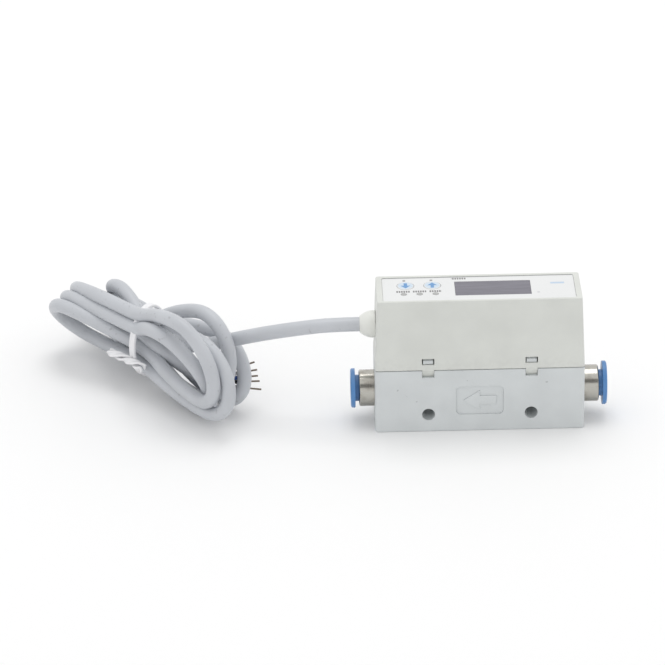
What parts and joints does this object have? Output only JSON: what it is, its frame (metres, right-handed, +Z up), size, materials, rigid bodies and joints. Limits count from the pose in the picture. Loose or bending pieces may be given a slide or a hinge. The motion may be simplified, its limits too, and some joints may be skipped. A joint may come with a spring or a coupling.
{
  "type": "flow sensor",
  "caption": "In-line air flow sensor in a snap-together plastic housing, with display and keys on top, push-in tube ports at the ends and a signal lead rolled into a tied hank.",
  "frame": {"origin": "centre of the housing's bottom face", "axes": "+X along the flow axis towards the right-hand port, +Y towards the back, +Z up"},
  "size_m": [0.1492, 0.0672, 0.038],
  "materials": {
    "base_grey": "fine satin moulding",
    "cover_grey": "fine satin moulding",
    "film_white": "smooth printed film",
    "window_dark": "tinted, smooth",
    "key_white": "smooth",
    "guide_clear": "clear",
    "board_green": "solder resist",
    "chip_black": "moulded",
    "lamp_white": "moulded",
    "can_aluminium": "drawn",
    "pin_tin": "tinned",
    "seal_rubber": "moulded",
    "insert_white": "moulded",
    "screen_steel": "stamped",
    "sleeve_nickel": "nickel plated, turned",
    "ring_blue": "moulded",
    "gland_white": "moulded",
    "cable_grey": "extruded jacket",
    "core_brown": "extruded",
    "core_white": "extruded",
    "core_blue": "extruded",
    "core_black": "extruded",
    "core_grey": "extruded",
    "cores_mixed": "extruded",
    "tie_white": "flat twist tie"
  },
  "bodies": {
    "housing": {"backing_ring_left": "insert_white", "backing_ring_right": "insert_white", "base_body": "base_grey", "board_header": "chip_black", "cable_coil": "cable_grey", "cable_gland": "gland_white", "cable_inner": "cable_grey", "cable_lead": "cable_grey", "cable_tie": "tie_white", "controller_chip": "chip_black", "cover": "cover_grey", "display_board": "board_green", "display_module": "chip_black", "display_window": "window_dark", "flow_chip": "chip_black", "flow_insert": "insert_white", "flow_screen_left": "screen_steel", "flow_screen_right": "screen_steel", "grip_collar_left": "insert_white", "grip_collar_right": "insert_white", "grip_ring_left": "screen_steel", "grip_ring_right": "screen_steel", "inner_cores": "cores_mixed", "label_film": "film_white", "light_guide_1": "guide_clear", "light_guide_2": "guide_clear", "light_guide_3": "guide_clear", "main_board": "board_green", "port_sleeve_left": "sleeve_nickel", "port_sleeve_right": "sleeve_nickel", "regulator_chip": "chip_black", "sensor_board": "board_green", "sensor_gasket": "seal_rubber", "sensor_pins": "pin_tin", "sleeve_o_ring_left": "seal_rubber", "sleeve_o_ring_right": "seal_rubber", "status_leds": "lamp_white", "supply_capacitor": "can_aluminium", "tact_switch_down": "chip_black", "tact_switch_up": "chip_black", "tube_seal_left": "seal_rubber", "tube_seal_right": "seal_rubber", "wire_black": "core_black", "wire_blue": "core_blue", "wire_brown": "core_brown", "wire_grey": "core_grey", "wire_white": "core_white"},
    "release_ring_left": {"release_ring_left": "ring_blue"},
    "release_ring_right": {"release_ring_right": "ring_blue"},
    "key_up": {"key_up": "key_white", "switch_plunger_up": "chip_black"},
    "key_down": {"key_down": "key_white", "switch_plunger_down": "chip_black"}
  },
  "joints": [
    {"name": "left_release_slide", "type": "slide", "parent": "housing", "child": "release_ring_left", "axis": [1, 0, 0], "range_m": [0, 0.0008], "stiffness_N_per_m": 500},
    {"name": "right_release_slide", "type": "slide", "parent": "housing", "child": "release_ring_right", "axis": [-1, 0, 0], "range_m": [0, 0.0008], "stiffness_N_per_m": 500},
    {"name": "key_up_press", "type": "slide", "parent": "housing", "child": "key_up", "axis": [0, 0, -1], "range_m": [0, 0.0003], "stiffness_N_per_m": 2000},
    {"name": "key_down_press", "type": "slide", "parent": "housing", "child": "key_down", "axis": [0, 0, -1], "range_m": [0, 0.0003], "stiffness_N_per_m": 2000}
  ]
}
